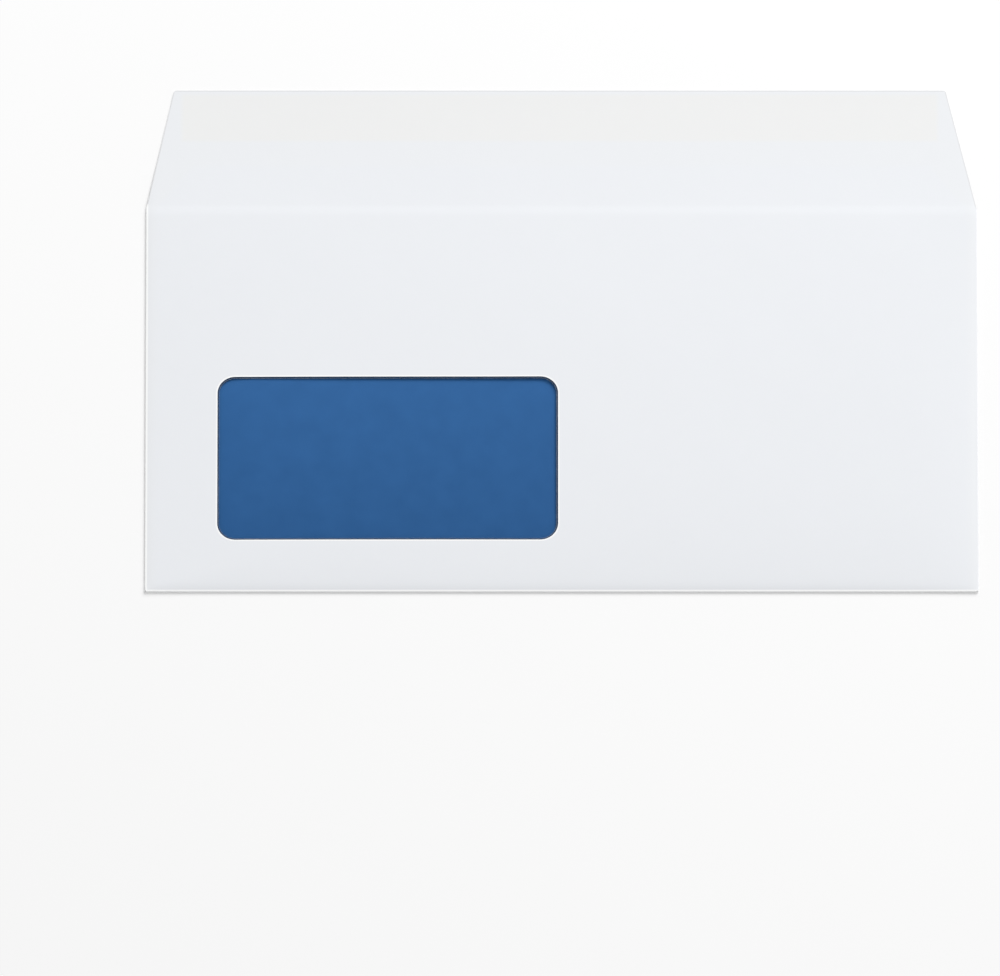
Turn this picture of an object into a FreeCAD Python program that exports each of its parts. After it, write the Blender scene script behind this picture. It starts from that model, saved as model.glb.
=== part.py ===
import FreeCAD, Part

import math
import os

# A window envelope, folded and glued from one sheet, lying on its back with the flap open.
# All lengths are in millimetres. X runs along the width, +Y towards the flap, +Z out of the
# face. The origin is the centre of the body's outline, on the surface that it lies on.

# Body, measured over its folds
body_width = 220.0
body_height = 110.0

# Sheet
paper_thickness = 0.12
side_fold_inner_radius = 0.25
corner_relief = 0.1

# Swell of the empty pocket: the face rises beside its folds and is flat in between, where
# the film is glued
swell_height = 0.7
swell_side_fade = 10.0
swell_foot_fade = 8.0
swell_mouth_fade = 26.0

# Window in the face, placed from the body's left and bottom folds
window_width = 90.0
window_height = 46.7
window_left_margin = 19.1
window_foot_margin = 14.7
window_corner_radius = 4.7

# Film behind the window and the glue frame that holds it
film_thickness = 0.03
film_overlap = 6.0
film_corner_radius = 2.0
window_glue_thickness = 0.02
window_glue_setback = 1.5

# Clearance kept between a curved sheet and what is glued to it
bond_clearance = 0.01

# Seal flap
flap_depth = 34.2
flap_tip_inset_left = 7.25
flap_tip_inset_right = 8.1
flap_tip_radius = 1.2

# Gum strip on the flap's inner side
gum_width = 13.4
gum_tip_margin = 1.2
gum_end_margin = 2.2
gum_thickness = 0.02

# Back panel, which closes over the side flaps
back_throat_depth = 19.0
back_side_inset = 2.2
back_taper_length = 30.0
back_corner_radius = 2.5

# Side flaps, with the bowed throat that leaves the mouth clear
shoulder_reach = 11.1
shoulder_drop = 5.9
shoulder_radius = 6.5
throat_steepness = 3.0
side_flap_width = 18.0
side_flap_radius = 6.0
side_flap_foot_rise = 16.0

# Glue lines of the two side seams
seam_glue_thickness = 0.04
seam_glue_width = 6.0
seam_glue_setback = 5.0
seam_glue_end_margin = 4.0

# Heights of the layers above the resting surface
side_flap_bottom = paper_thickness + seam_glue_thickness
side_fold_radius = side_fold_inner_radius + paper_thickness
face_top = side_flap_bottom + 2 * side_fold_radius
foot_fold_radius = face_top / 2

# Lines where the flat sheet runs into its folds
side_line = body_width / 2 - side_fold_radius
crease_line = body_height / 2
foot_line = -body_height / 2 + foot_fold_radius
flap_tip_line = crease_line + flap_depth

# Height that every cutting prism spans, well past the face and the swell
prism_top = 2 * (face_top + swell_height)

UP = FreeCAD.Vector(0, 0, 1)


def point(x, y, z=0.0):
    return FreeCAD.Vector(x, y, z)


def rounded_outline(corners, radii):
    """Closed wire of straight runs, with an arc of its own radius at each corner."""
    starts = []
    ends = []
    middles = []
    for i, corner in enumerate(corners):
        back = (corners[i - 1] - corner).normalize()
        ahead = (corners[(i + 1) % len(corners)] - corner).normalize()
        half_angle = back.getAngle(ahead) / 2
        reach = radii[i] / math.tan(half_angle)
        starts.append(corner + back * reach)
        ends.append(corner + ahead * reach)
        bisector = (back + ahead).normalize()
        middles.append(corner + bisector * (radii[i] / math.sin(half_angle) - radii[i]))
    edges = []
    for i in range(len(corners)):
        if radii[i] > 0:
            edges.append(Part.Arc(starts[i], middles[i], ends[i]).toShape())
        following = starts[(i + 1) % len(corners)]
        edges.append(Part.LineSegment(ends[i], following).toShape())
    return Part.Wire(edges)


def prism(wire, bottom, top):
    face = Part.Face(wire)
    face.translate(UP * bottom)
    return face.extrude(UP * (top - bottom))


def rounded_box(x_range, y_range, radius, bottom, top):
    corners = [
        point(x_range[0], y_range[0]),
        point(x_range[1], y_range[0]),
        point(x_range[1], y_range[1]),
        point(x_range[0], y_range[1]),
    ]
    return prism(rounded_outline(corners, [radius] * 4), bottom, top)


def mirrored_in_x(shape):
    return shape.mirror(point(0, 0), point(1, 0))


def clamped_cubic(low, high, low_fade, high_fade):
    """Knots of a clamped cubic with two spans for each fade, and evenly running pole places."""
    knots = [
        low,
        low + low_fade / 2,
        low + low_fade,
        high - high_fade,
        high - high_fade / 2,
        high,
    ]
    padded = [low] * 3 + knots + [high] * 3
    places = [sum(padded[i + 1:i + 4]) / 3 for i in range(len(padded) - 4)]
    return knots, places


def face_surface():
    """Outer surface of the face: level at its four borders, raised and flat in between."""
    x_knots, x_places = clamped_cubic(-side_line, side_line, swell_side_fade, swell_side_fade)
    y_knots, y_places = clamped_cubic(foot_line, crease_line, swell_foot_fade, swell_mouth_fade)
    share = [0, 0, 1, 1, 1, 1, 0, 0]
    poles = [
        [point(x, y, face_top + swell_height * sx * sy) for y, sy in zip(y_places, share)]
        for x, sx in zip(x_places, share)
    ]
    mults = [4, 1, 1, 1, 1, 4]
    surface = Part.BSplineSurface()
    surface.buildFromPolesMultsKnots(poles, mults, mults, x_knots, y_knots, False, False, 3, 3)
    return surface


def flap_surface():
    """Outer surface of the flap: it springs down from the crease and eases out to its tip."""
    run = flap_depth / 3
    heights = [face_top] + [gum_thickness + bond_clearance + paper_thickness] * 3
    x_knots = [-body_width / 2, body_width / 2]
    poles = [
        [point(x, crease_line + i * run, height) for i, height in enumerate(heights)]
        for x in x_knots
    ]
    y_knots = [crease_line, flap_tip_line]
    surface = Part.BSplineSurface()
    surface.buildFromPolesMultsKnots(poles, [2, 2], [4, 4], x_knots, y_knots, False, False, 1, 3)
    return surface


def layer(surface, depth, thickness):
    """Sheet of even thickness whose top lies the given depth under a surface."""
    sheet = surface.toShape()
    sheet.translate(UP * -depth)
    return sheet.extrude(UP * -thickness)


def window_ranges(growth):
    left = -body_width / 2 + window_left_margin
    foot = -body_height / 2 + window_foot_margin
    x_range = (left - growth, left + window_width + growth)
    y_range = (foot - growth, foot + window_height + growth)
    return x_range, y_range


def face_panel():
    x_range, y_range = window_ranges(0)
    opening = rounded_box(x_range, y_range, window_corner_radius, 0, prism_top)
    return layer(face_surface(), 0, paper_thickness).cut(opening)


def seal_flap():
    corners = [
        point(-body_width / 2, crease_line),
        point(body_width / 2, crease_line),
        point(body_width / 2 - flap_tip_inset_right, flap_tip_line),
        point(-body_width / 2 + flap_tip_inset_left, flap_tip_line),
    ]
    outline = rounded_outline(corners, [0, 0, flap_tip_radius, flap_tip_radius])
    trim = prism(outline, -prism_top, prism_top)
    return layer(flap_surface(), 0, paper_thickness).common(trim)


def half_ring(centre, start, run, radius):
    """Rolled fold: half a ring, from start round the centre line, carried along run."""
    outward = start.cross(run).normalize()
    inner = radius - paper_thickness
    arcs = [
        Part.Arc(centre + start * r, centre + outward * r, centre - start * r).toShape()
        for r in (radius, inner)
    ]
    caps = [
        Part.LineSegment(centre + start * radius * s, centre + start * inner * s).toShape()
        for s in (1, -1)
    ]
    return Part.Face(Part.Wire([arcs[0], caps[1], arcs[1], caps[0]])).extrude(run)


def side_fold_right():
    low_end = foot_line + corner_relief
    centre = point(side_line, low_end, face_top - side_fold_radius)
    run = point(0, crease_line - low_end, 0)
    return half_ring(centre, -UP, run, side_fold_radius)


def foot_fold():
    half_length = side_line - corner_relief
    centre = point(-half_length, foot_line, foot_fold_radius)
    return half_ring(centre, -UP, point(2 * half_length, 0, 0), foot_fold_radius)


def side_flap_outline():
    """Right side flap: bowed throat at the mouth, slanted edge at the foot."""
    foot = foot_line + corner_relief
    throat_end = shoulder_drop + (side_flap_width - shoulder_reach) * throat_steepness
    inner_x = side_line - side_flap_width
    corners = [
        point(side_line, crease_line),
        point(side_line - shoulder_reach, crease_line - shoulder_drop),
        point(inner_x, crease_line - throat_end),
        point(inner_x, foot + side_flap_foot_rise),
        point(side_line, foot),
    ]
    return rounded_outline(corners, [0, shoulder_radius, side_flap_radius, side_flap_radius, 0])


def side_flap_right():
    return prism(side_flap_outline(), side_flap_bottom, side_flap_bottom + paper_thickness)


def back_panel_outline():
    """Straight top edge and sides that bow out to the full fold over the taper."""
    top = crease_line - back_throat_depth
    side = body_width / 2 - back_side_inset
    foot_side = side_line - corner_relief
    taper_top = foot_line + back_taper_length
    bow = foot_side - side
    bow_radius = (back_taper_length ** 2 + bow ** 2) / (2 * bow)
    half_turn = math.asin(back_taper_length / bow_radius) / 2
    bow_x = side + bow_radius * (1 - math.cos(half_turn))
    bow_y = taper_top - bow_radius * math.sin(half_turn)
    r = back_corner_radius
    corner_x = side - r + r * math.cos(math.pi / 4)
    corner_y = top - r + r * math.sin(math.pi / 4)
    edges = [Part.LineSegment(point(-foot_side, foot_line), point(foot_side, foot_line)).toShape()]
    for s in (1, -1):
        taper_start = point(s * side, taper_top)
        bow_middle = point(s * bow_x, bow_y)
        edges.append(Part.Arc(point(s * foot_side, foot_line), bow_middle, taper_start).toShape())
        edges.append(Part.LineSegment(taper_start, point(s * side, top - r)).toShape())
        corner_middle = point(s * corner_x, corner_y)
        corner = Part.Arc(point(s * side, top - r), corner_middle, point(s * (side - r), top))
        edges.append(corner.toShape())
    edges.append(Part.LineSegment(point(side - r, top), point(r - side, top)).toShape())
    return Part.Wire(Part.__sortEdges__(edges))


def back_panel():
    return prism(back_panel_outline(), 0, paper_thickness)


def folded_sheet():
    """The whole blank, folded: one piece of paper from the flap's tip to the back panel."""
    right = [side_fold_right(), side_flap_right()]
    left = [mirrored_in_x(piece) for piece in right]
    pieces = [seal_flap(), foot_fold(), back_panel()] + right + left
    return face_panel().multiFuse(pieces)


def window_film():
    x_range, y_range = window_ranges(film_overlap)
    trim = rounded_box(x_range, y_range, film_corner_radius, 0, prism_top)
    depth = paper_thickness + window_glue_thickness + 2 * bond_clearance
    return layer(face_surface(), depth, film_thickness).common(trim)


def window_glue():
    """Frame of glue from the film's outer edge to just outside the window's edge."""
    outer = rounded_box(*window_ranges(film_overlap), film_corner_radius, 0, prism_top)
    hole_radius = window_corner_radius + window_glue_setback
    hole = rounded_box(*window_ranges(window_glue_setback), hole_radius, 0, prism_top)
    sheet = layer(face_surface(), paper_thickness + bond_clearance, window_glue_thickness)
    return sheet.common(outer.cut(hole))


def flap_gum():
    ends = (
        -body_width / 2 + flap_tip_inset_left + gum_end_margin,
        body_width / 2 - flap_tip_inset_right - gum_end_margin,
    )
    top = flap_tip_line - gum_tip_margin
    corners = [
        point(ends[0], top - gum_width),
        point(ends[1], top - gum_width),
        point(ends[1], top),
        point(ends[0], top),
    ]
    strip = prism(Part.makePolygon(corners + corners[:1]), -prism_top, prism_top)
    return layer(flap_surface(), paper_thickness + bond_clearance, gum_thickness).common(strip)


def seam_glue_right():
    """Glue line kept inside both the side flap and the back panel that it joins."""
    outer = body_width / 2 - seam_glue_setback
    inner = outer - seam_glue_width
    top = crease_line - back_throat_depth - seam_glue_end_margin
    foot = foot_line + seam_glue_end_margin
    bottom = paper_thickness
    height = seam_glue_thickness
    strip = Part.makeBox(outer - inner, top - foot, height, point(inner, foot, bottom))
    over_flap = prism(side_flap_outline(), bottom, bottom + height)
    over_panel = prism(back_panel_outline(), bottom, bottom + height)
    return strip.common(over_flap).common(over_panel)


def export(name, shape):
    clean = shape.removeSplitter()
    solid = clean.Solids[0] if len(clean.Solids) == 1 else clean
    print(name, len(clean.Solids), solid.isValid(), round(solid.Volume, 3))
    solid.exportStep("parts/" + name + ".step")


os.makedirs("parts", exist_ok=True)
export("envelope_paper", folded_sheet())
export("window_film", window_film())
export("window_glue", window_glue())
export("flap_gum", flap_gum())
export("seam_glue_right", seam_glue_right())
export("seam_glue_left", mirrored_in_x(seam_glue_right()))
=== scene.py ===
import math

import bpy
import numpy as np
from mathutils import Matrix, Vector


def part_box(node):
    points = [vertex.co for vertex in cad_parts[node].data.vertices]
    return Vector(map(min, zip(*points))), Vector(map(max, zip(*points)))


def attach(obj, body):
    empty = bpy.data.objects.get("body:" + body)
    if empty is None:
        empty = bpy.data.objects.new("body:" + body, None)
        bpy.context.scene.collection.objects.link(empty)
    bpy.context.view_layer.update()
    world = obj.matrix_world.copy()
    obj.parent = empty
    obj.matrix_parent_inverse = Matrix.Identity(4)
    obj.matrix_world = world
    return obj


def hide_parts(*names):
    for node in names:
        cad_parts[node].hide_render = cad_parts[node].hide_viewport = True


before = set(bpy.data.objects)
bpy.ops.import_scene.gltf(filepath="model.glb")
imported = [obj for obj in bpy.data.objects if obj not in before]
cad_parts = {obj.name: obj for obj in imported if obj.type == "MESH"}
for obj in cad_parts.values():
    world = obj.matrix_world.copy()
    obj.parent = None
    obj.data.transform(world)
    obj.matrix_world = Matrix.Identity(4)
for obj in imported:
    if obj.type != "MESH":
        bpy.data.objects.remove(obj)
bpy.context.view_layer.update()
print("stage: frame loaded")

# Shapes are worked out in millimetres, and makeMesh turns them into metres.
perMetre = 1000.0
tiny = 1e-6  # keeps a division or a comparison safe


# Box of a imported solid, in millimetres.
def nodeBox(name):
    low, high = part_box(name)
    return np.array(low) * perMetre, np.array(high) * perMetre


paperLow, paperHigh = nodeBox("envelope_paper")
filmLow, filmHigh = nodeBox("window_film")
gumLow, gumHigh = nodeBox("flap_gum")

sheet = {
    "thickness": 0.12,
    "seamGap": 0.04,            # glue between the back panel and a side flap
    "sideRadius": 0.3,          # reach of a side fold beyond the flat face
    "footRadius": 0.3,          # and of the foot fold
    "pressed": 0.42,            # height of the face at a side fold, over the side flap
    "footPressed": 0.52,        # and at the foot fold, over the table
    "cornerHold": 0.5,          # how much less it is pressed at the corners
    "cornerReach": 8.0,         # length in which that fades
    "cornerRelief": 0.1,        # bare step between a side fold and the foot fold
    "cornerFlare": 0.14,        # how far each of them bulges into the corner
    "bond": 0.01,               # clearance at a glued face
    "foldRise": 0.12,           # quick rise of the face out of a side fold
    "foldReach": 0.9,
    "foldLevel": 0.25,          # pressed margin beside a closed fold
    "foldStrip": 3.5,           # strip of finer grid beside a closed fold
    "foldStep": 0.35,
    "swell": 0.92,              # slow rise of the face between its folds
    "sideReach": (40.0, 11.0),  # how soon it rises from the left fold and from the right
    "footReach": 13.0,
    "mouthFade": 80.0,          # and how far below the crease it is full
    "cockle": 0.022,            # height of the paper's shallow waves
    "cockleEnd": 12.0,          # length in which they die out at the flap's tip
    "arch": 0.55,               # rise of the back panel inside its seams
    "archSide": 99.0,           # where it starts, out from the middle
    "archStart": 2.0,           # and up from the foot
    "archFade": 20.0,           # length in which it is full
    "creaseWidth": 3.4,         # rolled band where the flap folds
    "creaseLead": 2.1,          # how much of that band is on the face
    "creaseDrop": 0.115,        # and how far the sheet falls across it
    "flapEase": 2.0,            # how soon the flap settles on the table
    "tipInset": (7.25, 8.1),    # flap tip corners in from the body, left and right
    "tipRadius": 0.7,
    "tipRows": 9,
    "flapSetback": 0.06,        # flap's outline in from the body's at the crease
    "flapStep": 0.9,            # spacing of the flap's rows
    "throatDepth": 19.0,        # back panel's top edge below the crease
    "backInset": 2.2,           # back panel's side in from the body's
    "backTaper": 30.0,          # height in which its sides bow out to the foot fold
    "backCorner": 2.5,
    "backRows": 8,              # rows in a round corner
    "backStep": 2.0,
    "shoulder": (11.1, 5.9),    # side flap's shoulder, in from the fold and below the crease
    "throatSlope": 3.0,         # fall of its throat per millimetre in, past the shoulder
    "throatRound": 2.4,         # rounding of its shoulder
    "sideFlapWidth": 18.0,
    "sideFlapFoot": 16.0,       # height of its slanted foot
    "sideFlapRound": 1.6,       # rounding of its other corners
    "sideFlapLeast": 0.02,      # what is left of it at its two ends
    "sideFlapColumns": 15,
    "sideFoldRows": 13,
    "footFoldRows": 15,
    "step": 1.3,                # spacing of the surface grid
}
window = {
    "overlap": 6.0,             # film beyond the opening
    "radius": 4.7,
    "block": 6.0,               # frame of grid that follows the opening's outline
    "rings": 6,
}

bodyHalf = paperHigh[0]
footEdge = paperLow[1]
crease = -footEdge
tipY = paperHigh[1]
sideFlapZ = sheet["thickness"] + sheet["seamGap"]
faceTop = sideFlapZ + sheet["pressed"] + sheet["foldRise"]
footRadius = sheet["footRadius"]
sideLine = bodyHalf - sheet["sideRadius"]
footLine = footEdge + footRadius
gumThickness = 0.02
flapRest = gumThickness + sheet["bond"] + sheet["thickness"]
windowLow = filmLow[:2] + window["overlap"]
windowHigh = filmHigh[:2] - window["overlap"]


# Smooth step: 3s^2 - 2s^3 between 0 and 1.
def smooth(s):
    s = np.clip(s, 0, 1)
    return s * s * (3 - 2 * s)


# Sum of crossed sine waves. Each wave is its share, its turns along X and Y in radians per
# millimetre, and its start.
def crossedWaves(x, y, waves):
    return sum(share * np.sin(x * turnX + y * turnY + start) for share, turnX, turnY, start in waves)


cockleWaves = (
    (1.0, 0.071, 0.043, 0.6),
    (0.7, 0.113, -0.087, 2.1),
    (0.5, 0.031, 0.151, 4.4),
    (0.35, 0.209, 0.167, 1.3),
)


# Distance from a closed fold with a level start, hypot(gap, level) - level.
def fromFold(gap):
    return np.hypot(gap, sheet["foldLevel"]) - sheet["foldLevel"]


# Rise of the face, (1 - exp(-u)) (1 - exp(-c)), where a, b and c are the distances from the
# left, foot and right folds over their reaches, and u = (a^-3 + b^-3)^(-1/3) is the lesser of
# the first two with its mitre rounded.
def faceShare(x, y):
    leftReach, rightReach = sheet["sideReach"]
    a = fromFold(np.maximum(sideLine + x, 0)) / leftReach + tiny
    b = fromFold(np.maximum(y - footLine, 0)) / sheet["footReach"] + tiny
    c = fromFold(np.maximum(sideLine - x, 0)) / rightReach
    return (1 - np.exp(-((a ** -3 + b ** -3) ** (-1 / 3)))) * (1 - np.exp(-c))


# Height of the outer surface of face and flap. The face rises from its closed folds as above,
# rolls down to each fold as exp(-d / foldReach), less at the foot's corners, and falls to the
# crease as s (2 - s), with the cockle on top. Past the crease the sheet rolls down by a smooth
# step and falls to the table as (1 - v)^ease.
def topHeight(x, y):
    onFace = np.minimum(y, crease)
    share = faceShare(x, onFace)
    fromMouth = np.clip((crease - onFace) / sheet["mouthFade"], 0, 1)
    toMouth = fromMouth * (2 - fromMouth)
    calm = share * smooth((tipY - y) / sheet["cockleEnd"])
    inside = np.maximum(sideLine - np.abs(x), 0)
    bySide = np.exp(-fromFold(inside) / sheet["foldReach"])
    byFoot = np.exp(-fromFold(onFace - footLine) / sheet["foldReach"])
    held = sheet["cornerHold"] * np.exp(-inside / sheet["cornerReach"])
    footDip = (faceTop - sheet["footPressed"]) * (1 - held)
    dip = sheet["foldRise"] * bySide * (1 - byFoot) + footDip * byFoot
    cockle = sheet["cockle"] * crossedWaves(x, y, cockleWaves)
    height = faceTop - dip + sheet["swell"] * share * toMouth + cockle * calm
    rolled = smooth((y - crease + sheet["creaseLead"]) / sheet["creaseWidth"])
    v = np.clip((y - crease) / (tipY - crease), 0, 1)
    return flapRest + (height - sheet["creaseDrop"] * rolled - flapRest) * (1 - v) ** sheet["flapEase"]


# Rise of the back panel and side flaps inside the seams: a smooth step in from each side and
# up from the foot.
def archHeight(x, y):
    fromSide = smooth((sheet["archSide"] - np.abs(x)) / sheet["archFade"])
    fromFoot = smooth((y - footLine - sheet["archStart"]) / sheet["archFade"])
    return sheet["arch"] * fromSide * fromFoot


# A grid of points as one patch: columns are x, y, z and the place on the unfolded blank.
def patch(x, y, z, blankX, blankY):
    rows, columns = np.broadcast(x, y, z, blankX, blankY).shape
    layers = [np.broadcast_to(a, (rows, columns)).ravel() for a in (x, y, z, blankX, blankY)]
    index = np.arange(rows * columns).reshape(rows, columns)
    quads = np.stack([index[:-1, :-1], index[1:, :-1], index[1:, 1:], index[:-1, 1:]], axis=-1)
    return np.stack(layers, axis=1), quads.reshape(-1, 4)


# The same patch on the other side of x = 0, with its faces turned to stay outward.
def mirrored(points, quads):
    return points * np.array([-1, 1, 1, -1, 1]), quads[:, ::-1]


# Joins patches where their points agree in millimetres to the given digits.
def joined(patches, digits=5):
    starts = np.cumsum([0] + [len(points) for points, quads in patches])[:-1]
    points = np.concatenate([points for points, quads in patches])
    quads = np.concatenate([piece[1] + start for piece, start in zip(patches, starts)])
    keys, first, place = np.unique(np.round(points, digits), axis=0, return_index=True, return_inverse=True)
    return points[first], place.ravel()[quads]


# Vertex normals: the sum of the normals of the faces that meet there.
def vertexNormals(points, quads):
    a, b, c, d = (points[quads[:, i], :3] for i in range(4))
    facing = np.cross(c - a, d - b)
    normals = np.zeros((len(points), 3))
    for i in range(4):
        np.add.at(normals, quads[:, i], facing)
    return normals / np.linalg.norm(normals, axis=1, keepdims=True)


# Gives an open surface its thickness: a copy set in along the normals, and a wall of quads
# along every edge that belongs to one face only. Sides: 0 outer, 1 inner, 2 cut edge.
def thicken(points, quads, thickness):
    count = len(points)
    inner = points.copy()
    inner[:, :3] -= vertexNormals(points, quads) * thickness
    edges = np.concatenate([quads[:, [i, (i + 1) % 4]] for i in range(4)])
    ordered = np.sort(edges, axis=1)
    keys, first, uses = np.unique(ordered, axis=0, return_index=True, return_counts=True)
    border = edges[first[uses == 1]]
    wall = np.stack([border[:, 1], border[:, 0], border[:, 0] + count, border[:, 1] + count], axis=1)
    faces = np.concatenate([quads, quads[:, ::-1] + count, wall])
    sides = np.repeat([0, 1, 2], [len(quads), len(quads), len(wall)])
    return np.concatenate([points, inner]), faces, sides


# Mesh from points in millimetres: a material for each kind of side, smooth shading that stops at
# sharp edges, and the place on the unfolded blank as its UV map.
def makeMesh(name, points, faces, sides, materials, sharpAngle=35):
    mesh = bpy.data.meshes.new(name)
    mesh.from_pydata((points[:, :3] / perMetre).tolist(), [], faces.tolist())
    for material in materials:
        mesh.materials.append(material)
    mesh.polygons.foreach_set("material_index", np.minimum(sides, len(materials) - 1).astype(np.int32))
    mesh.polygons.foreach_set("use_smooth", np.ones(len(faces), bool))
    blank = mesh.uv_layers.new(name="blank")
    blank.data.foreach_set("uv", (points[faces.ravel(), 3:] / perMetre).astype(np.float32).ravel())
    mesh.set_sharp_from_angle(angle=math.radians(sharpAngle))
    mesh.validate()
    piece = bpy.data.objects.new(name, mesh)
    bpy.context.scene.collection.objects.link(piece)
    return piece


# Evenly spaced values that pass through each of the given stops.
def stopped(stops, step):
    runs = []
    for low, high in zip(stops[:-1], stops[1:]):
        count = max(1, round((high - low) / step))
        runs.append(np.linspace(low, high, count + 1)[:-1])
    return np.concatenate(runs + [[stops[-1]]])


blockLow = windowLow - window["block"]
blockHigh = windowHigh + window["block"]
relief = sheet["cornerRelief"]
strip = sheet["foldStrip"]
besideFold = stopped([0, relief, strip], sheet["foldStep"])
openX = stopped([strip - sideLine, blockLow[0], blockHigh[0], sideLine - strip], sheet["step"])
gridX = np.concatenate([besideFold - sideLine, openX[1:-1], sideLine - besideFold[::-1]])
creaseStart = crease - sheet["creaseLead"]
openY = stopped([footLine + strip, blockLow[1], blockHigh[1], creaseStart], sheet["step"])
besideCrease = stopped([creaseStart, crease], sheet["foldStep"])
gridY = np.concatenate([besideFold + footLine, openY[1:-1], besideCrease])


# Closest points on a rounded rectangle: clamp to the box of its corner centres, then step
# out by the corner radius.
def onRoundedBox(x, y, low, high, radius):
    centreX = np.clip(x, low[0] + radius, high[0] - radius)
    centreY = np.clip(y, low[1] + radius, high[1] - radius)
    away = np.hypot(x - centreX, y - centreY)
    return centreX + (x - centreX) / away * radius, centreY + (y - centreY) / away * radius


# Points once round a rectangle of grid lines, anticlockwise and closed.
def aroundBlock(acrossX, acrossY):
    x = np.concatenate([acrossX, np.full(len(acrossY), acrossX[-1])[1:], acrossX[::-1][1:],
                        np.full(len(acrossY), acrossX[0])[1:]])
    y = np.concatenate([np.full(len(acrossX), acrossY[0]), acrossY[1:],
                        np.full(len(acrossX), acrossY[-1])[1:], acrossY[::-1][1:]])
    return x, y


# Rings that run evenly from one closed outline to another: P = A + (B - A) s.
def ringPatch(outerX, outerY, innerX, innerY, count, height):
    s = np.linspace(0, 1, count + 1)[None, :]
    x = outerX[:, None] + (innerX - outerX)[:, None] * s
    y = outerY[:, None] + (innerY - outerY)[:, None] * s
    return patch(x, y, height(x, y), x, y)


# Face: a grid between the fold lines, whose block round the window is made of rings.
def facePatches():
    x, y = np.meshgrid(gridX, gridY, indexing="ij")
    points, quads = patch(x, y, topHeight(x, y), x, y)
    centre = points[quads, :2].mean(axis=1)
    inBlock = np.all((centre > blockLow) & (centre < blockHigh), axis=1)
    insideX = gridX[(gridX > blockLow[0] - tiny) & (gridX < blockHigh[0] + tiny)]
    insideY = gridY[(gridY > blockLow[1] - tiny) & (gridY < blockHigh[1] + tiny)]
    outerX, outerY = aroundBlock(insideX, insideY)
    innerX, innerY = onRoundedBox(outerX, outerY, windowLow, windowHigh, window["radius"])
    rings = ringPatch(outerX, outerY, innerX, innerY, window["rings"], topHeight)
    return [(points, quads[~inBlock]), rings]


# How far a corner of this radius pulls an outline in, at a height above the corner's start.
def cornerPull(gap, radius):
    inside = np.clip(radius - gap, 0, radius)
    return radius - np.sqrt(radius ** 2 - inside ** 2)


# Steps down from the radius to 0 that follow a quarter circle: radius (1 - sin t).
def cornerSteps(radius, count):
    return radius * (1 - np.sin(np.linspace(0, math.pi / 2, count)))


# Flap: rows from the crease to the tip, as wide as the slanted sides and round tip corners
# leave them. The outermost column on each side reaches out over the side fold.
def flapPatch():
    length = tipY - crease
    radius = sheet["tipRadius"]
    rolledEnd = crease + sheet["creaseWidth"] - sheet["creaseLead"]
    rows = np.concatenate([stopped([crease, rolledEnd], sheet["foldStep"])[:-1],
                           stopped([rolledEnd, tipY - radius], sheet["flapStep"])[:-1],
                           tipY - cornerSteps(radius, sheet["tipRows"])])
    v = (rows - crease) / length
    pull = cornerPull(tipY - rows, radius)
    outline = bodyHalf - sheet["flapSetback"]
    left = -outline + sheet["tipInset"][0] * v + pull
    right = outline - sheet["tipInset"][1] * v - pull
    narrowLeft = left + (outline - sideLine) * (1 - v)
    narrowRight = right - (outline - sideLine) * (1 - v)
    s = ((gridX + sideLine) / (2 * sideLine))[:, None]
    x = narrowLeft[None, :] * (1 - s) + narrowRight[None, :] * s
    x = np.concatenate([left[None, :], x, right[None, :]])
    y = rows[None, :] + 0 * x
    x[1:-1, 0] = gridX
    return patch(x, y, topHeight(x, y), x, y)


# Side fold: half an ellipse from the face's edge down to the side flap, along the fold. Its
# foot end bulges by flare sin(turn).
def sideFoldPatch():
    y = gridY[1:][None, :]
    turn = np.linspace(0, math.pi, sheet["sideFoldRows"])[:, None]
    top = topHeight(np.full_like(y, sideLine), y)
    radius = (top - sideFlapZ) / 2
    x = sideLine + sheet["sideRadius"] * np.sin(turn) + 0 * y
    z = sideFlapZ + radius + radius * np.cos(turn)
    y = y + 0 * x
    y[:, :1] -= sheet["cornerFlare"] * np.sin(turn)
    return patch(x, y, z, sideLine + sheet["sideRadius"] * turn + 0 * y, y)


# Smaller of two values, with the corner between them rounded over the given width.
def softMin(a, b, width):
    blend = np.clip(0.5 + (b - a) / (2 * width), 0, 1)
    return b * (1 - blend) + a * blend - width * blend * (1 - blend)


# Side flap: at each height it reaches in as far as the least of its four straight edges,
# which are the throat above the shoulder, the throat below it, the inner edge and the foot.
def sideFlapPatch():
    y = gridY[1:]
    below = crease - y
    shoulderIn, shoulderDown = sheet["shoulder"]
    throat = below * shoulderIn / shoulderDown
    lower = shoulderIn + (below - shoulderDown) / sheet["throatSlope"]
    foot = (y - gridY[1]) * sheet["sideFlapWidth"] / sheet["sideFlapFoot"]
    reach = softMin(throat, lower, sheet["throatRound"])
    reach = softMin(reach, sheet["sideFlapWidth"], sheet["sideFlapRound"])
    reach = np.maximum(softMin(reach, foot, sheet["sideFlapRound"]), sheet["sideFlapLeast"])
    s = np.linspace(0, 1, sheet["sideFlapColumns"])[:, None]
    x = sideLine - s * reach[None, :]
    y = y[None, :] + 0 * x
    folded = sideLine + math.pi * sheet["sideRadius"]
    return patch(x, y, sideFlapZ + archHeight(x, y), folded + s * reach[None, :], y)


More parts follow.
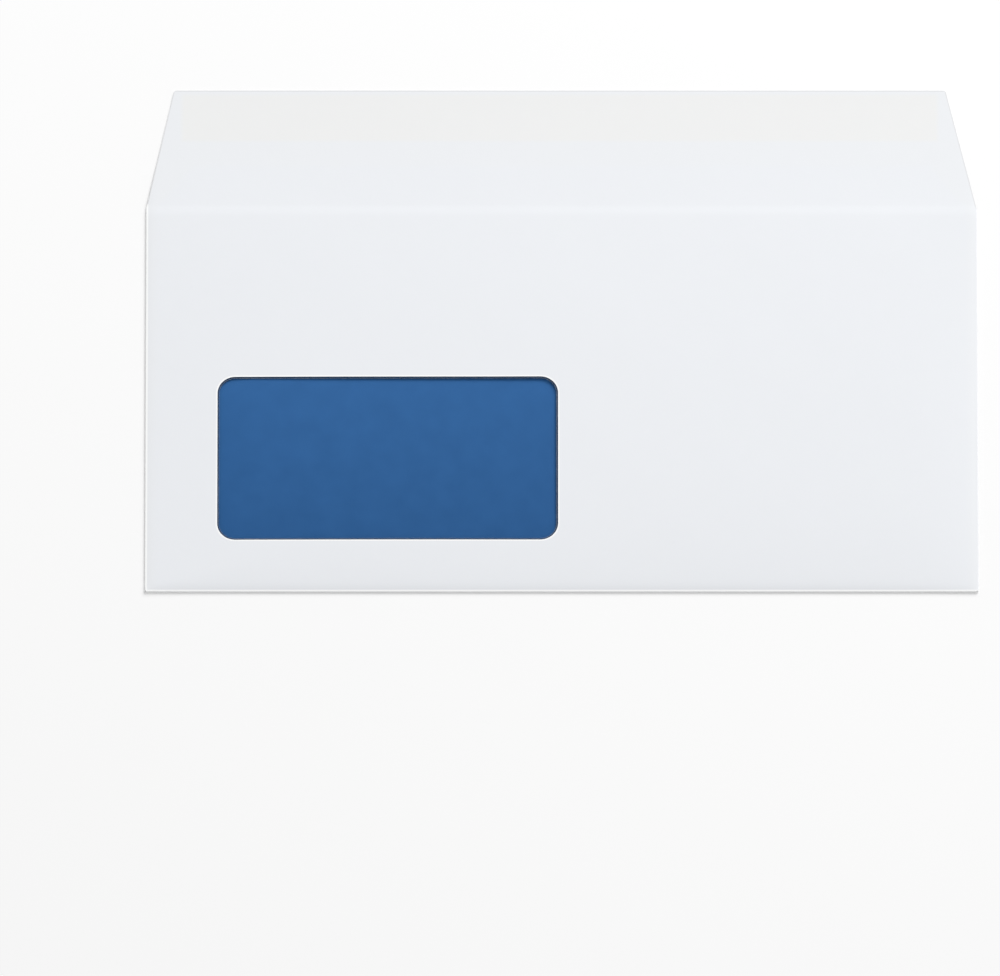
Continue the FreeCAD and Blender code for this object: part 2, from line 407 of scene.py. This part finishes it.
# Foot fold: half an ellipse from the back panel up to the face, along the foot. Its two ends
# bulge by flare sin(turn).
def footFoldPatch():
    x = gridX[1:-1][:, None]
    turn = np.linspace(math.pi, 0, sheet["footFoldRows"])[None, :]
    top = topHeight(x, np.full_like(x, footLine))
    radius = top / 2
    y = footLine - footRadius * np.sin(turn) + 0 * x
    z = radius + radius * np.cos(turn)
    x = x + 0 * y
    x[0] -= sheet["cornerFlare"] * np.sin(turn[0])
    x[-1] += sheet["cornerFlare"] * np.sin(turn[0])
    return patch(x, y, z, x, footLine - footRadius * turn + 0 * x)


# Half width of the back panel: inset at the sides, bowing out along an arc near the foot,
# with round corners at the top edge.
def backHalfWidth(y):
    side = bodyHalf - sheet["backInset"]
    foot = sideLine - relief
    taper = sheet["backTaper"]
    bow = foot - side
    arcRadius = (taper ** 2 + bow ** 2) / (2 * bow)
    drop = np.clip(footLine + taper - y, 0, taper)
    bowed = side + arcRadius - np.sqrt(arcRadius ** 2 - drop ** 2)
    return bowed - cornerPull(crease - sheet["throatDepth"] - y, sheet["backCorner"])


# Back panel: rows from its top edge down to the foot fold, on the table.
def backPatch():
    top = crease - sheet["throatDepth"]
    radius = sheet["backCorner"]
    cornerRows = top - cornerSteps(radius, sheet["backRows"])[::-1]
    rows = np.concatenate([cornerRows[:-1], stopped([footLine, top - radius], sheet["backStep"])[::-1]])
    x = gridX[1:-1][:, None] * (backHalfWidth(rows) / (sideLine - relief))[None, :]
    y = rows[None, :] + 0 * x
    unfolded = 2 * footLine - math.pi * footRadius - y
    return patch(x, y, archHeight(x, y), x, unfolded)


# The shader network as Python expressions: a value is a socket, and sums add Math nodes.
class Flow:
    def __init__(self, tree, socket=None):
        self.tree = tree
        self.socket = socket

    # Any node: its type, its settings, its inputs by name or number, and the output wanted.
    def node(self, kind, settings=None, inputs=None, output=0):
        made = self.tree.nodes.new(kind)
        for key, value in (settings or {}).items():
            setattr(made, key, value)
        for key, value in (inputs or {}).items():
            if isinstance(value, Flow):
                self.tree.links.new(value.socket, made.inputs[key])
            else:
                made.inputs[key].default_value = value
        return Flow(self.tree, made.outputs[output]) if len(made.outputs) else made

    def math(self, operation, first, second=0.0):
        return self.node("ShaderNodeMath", {"operation": operation}, {0: first, 1: second})

    def __add__(self, other):
        return self.math("ADD", self, other)

    __radd__ = __add__

    def __sub__(self, other):
        return self.math("SUBTRACT", self, other)

    def __rsub__(self, other):
        return self.math("SUBTRACT", other, self)

    def __mul__(self, other):
        return self.math("MULTIPLY", self, other)

    __rmul__ = __mul__

    def least(self, other):
        return self.math("MINIMUM", self, other)

    def most(self, other):
        return self.math("MAXIMUM", self, other)

    def size(self):
        return self.math("ABSOLUTE", self)

    def root(self):
        return self.math("SQRT", self)

    # 0 below the edge and 1 above it, over the given width.
    def above(self, edge, width):
        return self.node("ShaderNodeMapRange", {"interpolation_type": "SMOOTHSTEP"},
                         {"Value": self, "From Min": edge - width / 2, "From Max": edge + width / 2})

    def mix(self, factor, first, second):
        return self.node("ShaderNodeMix", {"data_type": "RGBA"}, {0: factor, 6: first, 7: second}, 2)

    def noise(self, place, scale, detail=2.0, roughness=0.5):
        return self.node("ShaderNodeTexNoise", None,
                         {"Vector": place, "Scale": scale, "Detail": detail, "Roughness": roughness})

    def stretched(self, place, scale, turn=0.0):
        return self.node("ShaderNodeMapping", None,
                         {"Vector": place, "Scale": scale, "Rotation": (0, 0, turn)})

    def bump(self, height, distance, strength):
        return self.node("ShaderNodeBump", None,
                         {"Height": height, "Distance": distance, "Strength": strength})


# Linear colour from the 0 to 255 values that a picture of it would show.
def shown(red, green, blue):
    level = np.array([red, green, blue]) / 255
    linear = np.where(level <= 0.04045, level / 12.92, ((level + 0.055) / 1.055) ** 2.4)
    return tuple(float(v) for v in linear) + (1.0,)


def newMaterial(name):
    material = bpy.data.materials.new(name)
    material.use_nodes = True
    tree = material.node_tree
    tree.nodes.clear()
    return material, Flow(tree)


def finishMaterial(flow, shader):
    flow.node("ShaderNodeOutputMaterial", None, {"Surface": shader})


# Inside print, in millimetres on the unfolded blank.
inkField = {
    "margin": 2.6,              # bare margin at the side folds of the face
    "upFlap": 12.3,             # how far the print runs up the flap
    "flapSlant": 0.8,           # how fast its sides draw in up the flap
    "backInset": 7.2,           # bare margin at the back panel's sides
    "backTop": 7.5,             # bare margin at the back panel's top edge
    "backFade": 0.2,            # length in which it narrows past the foot fold
    "edgeFade": 0.25,           # softness of its edge
    "showThrough": 2.0,         # and of its shade on the outside
}
paperLook = {
    "bare": shown(237.5, 239.5, 242.5),
    "overInk": shown(237.2, 239.4, 243.1),
    "overGum": shown(238.7, 239.2, 239),
    "backOverInk": shown(229.5, 231.5, 235.5),
    "flapEdgeGrey": shown(226, 227, 229),    # grey band along the flap's slanted sides and tip
    "flapEdgeWidth": 0.3,        # and that edge's width
    "flapEdgeFade": 0.3,
    "flapEdgeStart": 0.5,        # above the crease
    "flapEdgeRise": 1.0,
    "edgeHighlight": shown(254, 255, 255),     # painted highlight along the left and foot folds and round the window
    "windowHighlight": 0.4,                 # width of that painted highlight round the window
    "foldHighlight": 0.3,             # and beside a fold
    "highlightFade": 0.2,
    "highlightEnd": 1.0,              # above the crease
    "footFade": 1.0,            # length in which the face's shade turns into the back's
    "gumCorner": 0.5,           # corner radius of the gum's shade, seen through the flap
    "gumFade": 1.6,             # and its softness
    "formation": 0.012,         # cloudiness of the sheet
    "grain": 0.014,
    "fibres": 0.008,
    "roughness": 0.78,
    "roughGrain": 0.12,
    "specular": 0.22,
}
texture = {
    "formationScale": 170.0,
    "grainScale": 2600.0,
    "fibreScale": 5200.0,
    "fibreStretch": 0.12,
    "fibreTurns": (0.5, -0.3),  # radians
    "reliefGrain": 0.5,         # shares of the relief
    "reliefFibres": 0.8,
    "reliefFormation": 2.0,
    "relief": 0.00002,          # metres
    "reliefStrength": 0.35,
}


# Place on the unfolded blank in millimetres, from the piece's own UV map.
def blankPlace(flow):
    place = flow.node("ShaderNodeUVMap", {"uv_map": "blank"})
    across = flow.node("ShaderNodeSeparateXYZ", None, {0: place}, 0)
    along = flow.node("ShaderNodeSeparateXYZ", None, {0: place}, 1)
    return across * perMetre, along * perMetre


# How far inside the printed field a point of the blank is: the least of its gaps to the sides,
# which draw in up the flap and on the back panel, to the top and to the end.
def inkMask(flow, across, along):
    upFlap = (along - crease).most(0.0)
    backFold = footLine - math.pi * footRadius
    onBack = (backFold - along).above(0.0, inkField["backFade"])
    narrow = onBack * (inkField["backInset"] - inkField["margin"])
    sideGap = (bodyHalf - inkField["margin"]) - across.size() - upFlap * inkField["flapSlant"] - narrow
    topGap = (crease + inkField["upFlap"]) - along
    backEnd = 2 * footLine - math.pi * footRadius - (crease - sheet["throatDepth"] - inkField["backTop"])
    return sideGap.least(topGap).least(along - backEnd)


# Distance from a rounded rectangle's outline, less than 0 inside it: with q the distance from
# the box of its corner centres, |max(q, 0)| + min(max(qx, qy), 0) - r.
def outlineGap(flow, across, along, low, high, radius):
    middle, half = (low + high) / 2, (high - low) / 2 - radius
    besideX = (across - float(middle[0])).size() - float(half[0])
    besideY = (along - float(middle[1])).size() - float(half[1])
    outside = (besideX.most(0.0) * besideX.most(0.0) + besideY.most(0.0) * besideY.most(0.0)).root()
    return outside + besideX.most(besideY).least(0.0) - radius


# 1 over the gum strip, falling to 0 past its outline by a smooth step.
def gumMask(flow, across, along):
    gap = outlineGap(flow, across, along, gumLow[:2], gumHigh[:2], paperLook["gumCorner"])
    return 1.0 - gap.above(0.0, paperLook["gumFade"])


# How far inside the flap's slanted sides and tip a point of the blank is.
def flapGap(across, along):
    up = (along - crease) * (1 / (tipY - crease))
    left = across + bodyHalf - up * sheet["tipInset"][0]
    right = bodyHalf - across - up * sheet["tipInset"][1]
    return left.least(right).least(tipY - along)


# White wove paper: cloudy formation, fine grain and short crossed fibres.
def paperTexture(flow, place):
    formation = flow.noise(place, texture["formationScale"], detail=3.0, roughness=0.55) - 0.5
    grain = flow.noise(place, texture["grainScale"], detail=3.0, roughness=0.65) - 0.5
    stretch = texture["fibreStretch"]
    turnAlong, turnAcross = texture["fibreTurns"]
    along = flow.stretched(place, (1.0, stretch, 1.0), turnAlong)
    across = flow.stretched(place, (stretch, 1.0, 1.0), turnAcross)
    along = flow.noise(along, texture["fibreScale"], roughness=0.6)
    across = flow.noise(across, texture["fibreScale"], roughness=0.6)
    fibres = along.most(across) - 0.5
    return formation, grain, fibres


# Height of grain and fibres for a Bump node.
def paperRelief(grain, fibres):
    return grain * texture["reliefGrain"] + fibres * texture["reliefFibres"]


# Outside: white paper, cooler where the print shows through, warmer over the gum, grey along the flap's
# slanted sides and tip, and a painted highlight: a white line along the left and foot folds and round the
# window.
def outerPaper():
    material, flow = newMaterial("white_paper_outside")
    place = flow.node("ShaderNodeTexCoord", None, None, "Object")
    across, along = blankPlace(flow)
    formation, grain, fibres = paperTexture(flow, place)
    onBack = (footLine - along).above(0.0, paperLook["footFade"])
    overInk = flow.mix(onBack, paperLook["overInk"], paperLook["backOverInk"])
    inked = inkMask(flow, across, along).above(0.0, inkField["showThrough"])
    colour = flow.mix(inked, paperLook["bare"], overInk)
    colour = flow.mix(gumMask(flow, across, along), colour, paperLook["overGum"])
    # Grey band just inside the flap's slanted sides and tip, starting above the crease.
    onFlap = (along - crease).above(paperLook["flapEdgeStart"], paperLook["flapEdgeRise"])
    flapEdgeGrey = 1.0 - flapGap(across, along).above(paperLook["flapEdgeWidth"], paperLook["flapEdgeFade"])
    colour = flow.mix(flapEdgeGrey * onFlap, colour, paperLook["flapEdgeGrey"])
    # Painted highlight: white paper in a band round the window, along the left side fold up to just above
    # the crease, and along the foot fold. The right side fold gets none.
    rim = outlineGap(flow, across, along, windowLow, windowHigh, window["radius"])
    edgeHighlight = 1.0 - rim.above(paperLook["windowHighlight"], paperLook["highlightFade"])
    onSide = (0.0 - across - sideLine).least(sideLine + math.pi * sheet["sideRadius"] + across)
    onSide = onSide.least(crease + paperLook["highlightEnd"] - along)
    onFoot = (footLine - along).least(along - (footLine - math.pi * footRadius))
    edgeHighlight = edgeHighlight.most(onSide.most(onFoot).above(-paperLook["foldHighlight"], paperLook["highlightFade"]))
    colour = flow.mix(edgeHighlight, colour, paperLook["edgeHighlight"])
    shade = formation * paperLook["formation"] + grain * paperLook["grain"]
    shade = shade + fibres * paperLook["fibres"] + 1.0
    colour = flow.node("ShaderNodeVectorMath", {"operation": "SCALE"}, {0: colour, "Scale": shade})
    height = paperRelief(grain, fibres) + formation * texture["reliefFormation"]
    shader = flow.node("ShaderNodeBsdfPrincipled", None, {
        "Base Color": colour,
        "Roughness": grain * paperLook["roughGrain"] + paperLook["roughness"],
        "Specular IOR Level": paperLook["specular"],
        "Normal": flow.bump(height, texture["relief"], texture["reliefStrength"]),
    })
    finishMaterial(flow, shader)
    return material


inkLook = {
    "deep": shown(32, 88, 143),
    "light": shown(47, 105, 165),
    "fibre": shown(90, 132, 180),
    "middle": -17.0,            # height on the panel where the painted lightening is half way
    "paintedLightening": 0.014,          # painted shading: how fast the ink is made lighter towards the mouth, per millimetre
    "cloud": 0.6,               # unevenness of the ink
    "speckEdge": 0.42,          # bare fibres: where in the grain they start
    "speckFade": 0.2,
    "speckShare": 0.2,
    "roughness": 0.7,
    "roughGrain": 0.1,
    "specular": 0.25,
}


# Inside: bare paper, and on the printed field a cloudy ink that leaves some fibres pale, with painted
# shading that makes it lighter towards the mouth.
def innerPaper():
    material, flow = newMaterial("blue_printed_inside")
    place = flow.node("ShaderNodeTexCoord", None, None, "Object")
    across, along = blankPlace(flow)
    formation, grain, fibres = paperTexture(flow, place)
    speckle = (grain + fibres).above(inkLook["speckEdge"], inkLook["speckFade"]) * inkLook["speckShare"]
    up = flow.node("ShaderNodeSeparateXYZ", None, {0: place}, 1) * perMetre
    # Painted shading: the ink runs lighter towards the mouth. The formation adds the ink's own unevenness.
    lighteningAndCloud = (up - inkLook["middle"]) * inkLook["paintedLightening"] + formation * inkLook["cloud"] + 0.5
    ink = flow.mix(lighteningAndCloud, inkLook["deep"], inkLook["light"])
    ink = flow.mix(speckle, ink, inkLook["fibre"])
    inked = inkMask(flow, across, along).above(0.0, inkField["edgeFade"])
    shader = flow.node("ShaderNodeBsdfPrincipled", None, {
        "Base Color": flow.mix(inked, paperLook["bare"], ink),
        "Roughness": grain * inkLook["roughGrain"] + inkLook["roughness"],
        "Specular IOR Level": inkLook["specular"],
        "Normal": flow.bump(paperRelief(grain, fibres), texture["relief"], texture["reliefStrength"]),
    })
    finishMaterial(flow, shader)
    return material


cutLook = {
    "dark": shown(228, 229, 230),
    "pale": shown(246, 247, 248),
    "fuzzScale": 9000.0,
    "roughness": 0.85,
    "roughFuzz": 0.1,
    "specular": 0.15,
    "relief": 0.00003,          # metres
    "reliefStrength": 0.5,
}


# Cut edge: fuzzy fibre ends between two greys.
def cutEdge():
    material, flow = newMaterial("cut_paper_edge")
    place = flow.node("ShaderNodeTexCoord", None, None, "Object")
    fuzz = flow.noise(place, cutLook["fuzzScale"], detail=3.0, roughness=0.7)
    shader = flow.node("ShaderNodeBsdfPrincipled", None, {
        "Base Color": flow.mix(fuzz, cutLook["dark"], cutLook["pale"]),
        "Roughness": fuzz * cutLook["roughFuzz"] + cutLook["roughness"],
        "Specular IOR Level": cutLook["specular"],
        "Normal": flow.bump(fuzz, cutLook["relief"], cutLook["reliefStrength"]),
    })
    finishMaterial(flow, shader)
    return material


filmShape = {
    "thickness": 0.03,
    "corner": 2.0,
    "cornerRows": 7,
    "rowStep": 1.0,
    "ripple": 0.03,
    "rippleStart": 9.0,         # length in from the opening where it is full
    "waves": ((0.6, 0.33, 0.05, 0.0), (0.4, 0.14, -0.21, 1.7)),
}
glueShape = {
    "thickness": 0.02,
    "setback": 1.5,             # from the opening
    "step": 1.3,
    "rings": 6,
}
filmLook = {
    "sheen": shown(236, 240, 244),
    "clear": (0.985, 0.99, 0.995, 1.0),
    "gloss": 0.9,               # share reflected at a glancing angle
    "glossPower": 5.0,
    "metallic": 0.7,
    "roughness": 0.06,
    "roughRipple": 0.06,
    "specular": 0.1,
    "edgeShadowWidth": 0.38,           # width of the painted shadow: a dark line on the film beside the paper's edge
    "edgeShadowFade": 0.16,
    "edgeShadowColour": shown(18, 54, 90),
    "edgeShadowShare": 0.96,
    "rippleScale": 90.0,
    "rippleStretch": 0.35,
    "relief": 0.00004,          # metres
    "reliefStrength": 0.3,
}


# Clear film: light passes through it, and a share that grows at a glancing angle is reflected. Beside the
# paper's edge a narrow line of the film is painted dark, a painted shadow of that edge.
def clearFilm():
    material, flow = newMaterial("clear_film")
    place = flow.node("ShaderNodeTexCoord", None, None, "Object")
    across, along = blankPlace(flow)
    stretched = flow.stretched(place, (1.0, filmLook["rippleStretch"], 1.0))
    ripple = flow.noise(stretched, filmLook["rippleScale"])
    rim = outlineGap(flow, across, along, windowLow, windowHigh, window["radius"])
    # Painted shadow: a dark band on the film just inside the window's edge.
    edgeShadow = rim.above(-filmLook["edgeShadowWidth"], filmLook["edgeShadowFade"])
    normal = flow.bump(ripple, filmLook["relief"], filmLook["reliefStrength"])
    surface = flow.node("ShaderNodeBsdfPrincipled", None, {
        "Base Color": flow.mix(edgeShadow, filmLook["sheen"], filmLook["edgeShadowColour"]),
        "Metallic": filmLook["metallic"] - edgeShadow * filmLook["metallic"],
        "Roughness": ripple * filmLook["roughRipple"] + filmLook["roughness"],
        "Specular IOR Level": filmLook["specular"],
        "Normal": normal,
    })
    clear = flow.node("ShaderNodeBsdfTransparent", None, {"Color": filmLook["clear"]})
    facing = flow.node("ShaderNodeLayerWeight", None, {"Blend": 0.5, "Normal": normal}, "Facing")
    glance = facing.math("POWER", facing, filmLook["glossPower"]) * filmLook["gloss"]
    share = glance.most(edgeShadow * filmLook["edgeShadowShare"])
    finishMaterial(flow, flow.node("ShaderNodeMixShader", None, {0: share, 1: clear, 2: surface}))
    return material


gumLook = {
    "pale": shown(232, 231, 224),
    "dark": shown(224, 222, 212),
    "cloudScale": 220.0,
    "streakScale": 900.0,
    "streakStretch": 0.15,
    "roughness": 0.18,
    "roughStreak": 0.25,
    "specular": 0.5,
    "relief": 0.00003,          # metres
    "reliefStrength": 0.4,
}
glueLook = {
    "pale": shown(226, 226, 220),
    "dark": shown(212, 211, 202),
    "lumpScale": 700.0,
    "roughness": 0.3,
    "roughLumps": 0.3,
    "relief": 0.00003,          # metres
    "reliefStrength": 0.4,
}


# Dry gum: glossy and faintly yellow, with streaks along the strip.
def dryGum():
    material, flow = newMaterial("dry_gum")
    place = flow.node("ShaderNodeTexCoord", None, None, "Object")
    stretched = flow.stretched(place, (gumLook["streakStretch"], 1.0, 1.0))
    streak = flow.noise(stretched, gumLook["streakScale"], detail=3.0, roughness=0.6)
    cloud = flow.noise(place, gumLook["cloudScale"])
    shader = flow.node("ShaderNodeBsdfPrincipled", None, {
        "Base Color": flow.mix(cloud, gumLook["pale"], gumLook["dark"]),
        "Roughness": streak * gumLook["roughStreak"] + gumLook["roughness"],
        "Specular IOR Level": gumLook["specular"],
        "Normal": flow.bump(streak, gumLook["relief"], gumLook["reliefStrength"]),
    })
    finishMaterial(flow, shader)
    return material


# Dried glue: lumpy, between two faintly yellow greys.
def driedGlue(name):
    material, flow = newMaterial(name)
    place = flow.node("ShaderNodeTexCoord", None, None, "Object")
    lumps = flow.noise(place, glueLook["lumpScale"], detail=3.0, roughness=0.6)
    shader = flow.node("ShaderNodeBsdfPrincipled", None, {
        "Base Color": flow.mix(lumps, glueLook["pale"], glueLook["dark"]),
        "Roughness": lumps * glueLook["roughLumps"] + glueLook["roughness"],
        "Normal": flow.bump(lumps, glueLook["relief"], glueLook["reliefStrength"]),
    })
    finishMaterial(flow, shader)
    return material


# Paper: all patches joined into one sheet, which gets its thickness on the inner side.
def foldedPaper():
    right = [sideFoldPatch(), sideFlapPatch()]
    left = [mirrored(*piece) for piece in right]
    patches = facePatches() + [flapPatch(), footFoldPatch(), backPatch()] + right + left
    points, faces, sides = thicken(*joined(patches), sheet["thickness"])
    piece = makeMesh("folded_sheet", points, faces, sides, [outerPaper(), innerPaper(), cutEdge()])
    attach(piece, "root")
    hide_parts("envelope_paper")
    print("stage: paper,", len(faces), "faces")


# Film: rows as wide as its round corners leave them, hung under the face's inner surface,
# sagging a little in ripples where the window is open.
def windowFilm():
    radius = filmShape["corner"]
    step = filmShape["rowStep"]
    low, high = filmLow[:2], filmHigh[:2]
    corner = cornerSteps(radius, filmShape["cornerRows"])[::-1]
    rows = np.concatenate([low[1] + corner[:-1], stopped([low[1] + radius, high[1] - radius], step)[:-1],
                           high[1] - corner[::-1]])
    pull = cornerPull(np.minimum(rows - low[1], high[1] - rows), radius)
    s = stopped([0.0, 1.0], step / (high[0] - low[0]))[:, None]
    x = (low[0] + pull)[None, :] * (1 - s) + (high[0] - pull)[None, :] * s
    y = rows[None, :] + 0 * x
    edgeGap = np.minimum(np.minimum(x - windowLow[0], windowHigh[0] - x),
                         np.minimum(y - windowLow[1], windowHigh[1] - y))
    slack = smooth(edgeGap / filmShape["rippleStart"]) * filmShape["ripple"]
    waves = 1.0 + crossedWaves(x, y, filmShape["waves"])
    depth = sheet["thickness"] + 2 * sheet["bond"] + glueShape["thickness"]
    z = topHeight(x, y) - depth - slack * waves
    points, faces, sides = thicken(*patch(x, y, z, x, y), filmShape["thickness"])
    piece = makeMesh("film_pane", points, faces, sides, [clearFilm()])
    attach(piece, "root")
    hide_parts("window_film")
    print("stage: film,", len(faces), "faces")


# Glue frame: rings from the film's outline in to just outside the window's edge.
def windowGlue():
    setback = glueShape["setback"]
    acrossX = stopped([filmLow[0], filmHigh[0]], glueShape["step"])
    acrossY = stopped([filmLow[1], filmHigh[1]], glueShape["step"])
    aroundX, aroundY = aroundBlock(acrossX, acrossY)
    outerX, outerY = onRoundedBox(aroundX, aroundY, filmLow, filmHigh, filmShape["corner"])
    innerX, innerY = onRoundedBox(aroundX, aroundY, windowLow - setback, windowHigh + setback,
                                  window["radius"] + setback)
    ring, ringQuads = joined([ringPatch(outerX, outerY, innerX, innerY, glueShape["rings"], topHeight)])
    ring[:, 2] -= sheet["thickness"] + sheet["bond"]
    points, faces, sides = thicken(ring, ringQuads, glueShape["thickness"])
    piece = makeMesh("film_glue_frame", points, faces, sides, [driedGlue("film_glue")])
    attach(piece, "root")
    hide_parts("window_glue")
    print("stage: film glue,", len(faces), "faces")


gumStep = (1.5, 0.9)  # spacing of its grid along and across the strip


# Gum strip: a grid on the inner side of the flap's tip.
def gumStrip():
    x = stopped([gumLow[0], gumHigh[0]], gumStep[0])[:, None]
    y = stopped([gumLow[1], gumHigh[1]], gumStep[1])[None, :]
    x, y = x + 0 * y, y + 0 * x
    z = topHeight(x, y) - sheet["thickness"] - sheet["bond"]
    points, faces, sides = thicken(*patch(x, y, z, x, y), gumThickness)
    piece = makeMesh("gum_strip", points, faces, sides, [dryGum()])
    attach(piece, "root")
    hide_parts("flap_gum")
    print("stage: gum,", len(faces), "faces")


# Seam glue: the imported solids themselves, in dried glue.
def seamGlue():
    glue = driedGlue("seam_glue")
    for name in ("seam_glue_left", "seam_glue_right"):
        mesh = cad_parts[name].data
        mesh.materials.clear()
        mesh.materials.append(glue)
    print("stage: seam glue")


studio = {
    "floorHalf": 3.0,           # metres
    "floorGap": 0.02,           # table top below the back panel, in millimetres
    "floorColours": ((0.855, 0.855, 0.855, 1.0), (0.86, 0.86, 0.86, 1.0)),
    "floorCloud": 30.0,         # scale of the faint change between the two
    "floorRoughness": 0.9,
    "floorGlow": 0.13,          # added for the camera alone
    "skyLevel": 0.56,
    "lampPower": 76.0,          # watts
    "lampWidth": 1.75,          # metres
    "lampFrom": (0.42, 0.78, 0.58),
    "lampReach": 3.0,           # metres
}


# Table top just under the back panel, with a glow that the camera alone sees.
def floor():
    half = studio["floorHalf"]
    z = -studio["floorGap"] / perMetre
    mesh = bpy.data.meshes.new("table_top")
    corners = [(-half, -half, z), (half, -half, z), (half, half, z), (-half, half, z)]
    mesh.from_pydata(corners, [], [(0, 1, 2, 3)])
    material, flow = newMaterial("table_white")
    place = flow.node("ShaderNodeTexCoord", None, None, "Object")
    faint = flow.noise(place, studio["floorCloud"])
    surface = flow.node("ShaderNodeBsdfPrincipled", None, {
        "Base Color": flow.mix(faint, *studio["floorColours"]),
        "Roughness": studio["floorRoughness"],
        "Specular IOR Level": 0.0,
    })
    strength = flow.node("ShaderNodeLightPath", None, None, "Is Camera Ray") * studio["floorGlow"]
    glow = flow.node("ShaderNodeEmission", None, {"Color": (1.0, 1.0, 1.0, 1.0), "Strength": strength})
    finishMaterial(flow, flow.node("ShaderNodeAddShader", None, {0: surface, 1: glow}))
    mesh.materials.append(material)
    table = bpy.data.objects.new("table_top", mesh)
    bpy.context.scene.collection.objects.link(table)


# One large softbox from behind and the right, and an even sky that the camera sees as white.
def lights():
    softbox = bpy.data.lights.new("softbox", "AREA")
    softbox.shape = "SQUARE"
    softbox.size = studio["lampWidth"]
    softbox.energy = studio["lampPower"]
    lamp = bpy.data.objects.new("softbox", softbox)
    direction = Vector(studio["lampFrom"]).normalized()
    lamp.location = direction * studio["lampReach"]
    lamp.rotation_euler = direction.to_track_quat("Z", "Y").to_euler()
    bpy.context.scene.collection.objects.link(lamp)
    world = bpy.data.worlds.new("studio")
    world.use_nodes = True
    world.node_tree.nodes.clear()
    flow = Flow(world.node_tree)
    seen = flow.node("ShaderNodeLightPath", None, None, "Is Camera Ray")
    level = seen * (1.0 - studio["skyLevel"]) + studio["skyLevel"]
    sky = flow.node("ShaderNodeBackground", None, {"Color": (1.0, 1.0, 1.0, 1.0), "Strength": level})
    flow.node("ShaderNodeOutputWorld", None, {"Surface": sky})
    bpy.context.scene.world = world


# The photograph's frame and where the envelope lies in it, in pixels.
photo = {
    "width": 1000,
    "height": 976,
    "bodyLeft": 145.3,
    "bodyRight": 977.6,
    "creaseRow": 207.45,
    "footRow": 592.65,
    "elevation": 67.2,
    "distance": 11.0,           # metres
    "near": 0.1,
    "sensor": 36.0,
}


# Camera: far away and long, looking down at the photograph's angle. The pixel scale gives
# the lens, and the row of the crease and the middle of the body give the point looked at.
def camera():
    pixel = (photo["bodyRight"] - photo["bodyLeft"]) / (2 * bodyHalf)
    elevation = math.radians(photo["elevation"])
    rise, lean = math.sin(elevation), math.cos(elevation)
    frameWidth = photo["width"] / pixel / perMetre
    data = bpy.data.cameras.new("camera")
    data.sensor_width = photo["sensor"]
    data.lens = photo["sensor"] * photo["distance"] / frameWidth
    data.clip_start = photo["near"]
    data.clip_end = photo["distance"] * 3
    right = (photo["width"] / 2 - (photo["bodyLeft"] + photo["bodyRight"]) / 2) / pixel
    creaseHeight = crease * rise + float(topHeight(np.array([0.0]), np.array([crease]))[0]) * lean
    footHeight = footLine * rise + footRadius * lean - footRadius
    middleRow = (photo["creaseRow"] + photo["footRow"]) / 2
    middleHeight = (creaseHeight + footHeight) / 2
    up = (middleRow - photo["height"] / 2) / pixel + middleHeight
    target = Vector((right, up * rise, up * lean)) / perMetre
    back = Vector((0, -lean, rise))
    eye = bpy.data.objects.new("camera", data)
    eye.location = target + back * photo["distance"]
    eye.rotation_euler = back.to_track_quat("Z", "Y").to_euler()
    bpy.context.scene.collection.objects.link(eye)
    bpy.context.scene.camera = eye


foldedPaper()
windowFilm()
windowGlue()
gumStrip()
seamGlue()
floor()
lights()
camera()
bpy.context.scene.view_settings.view_transform = "Standard"
print("stage: scene set")
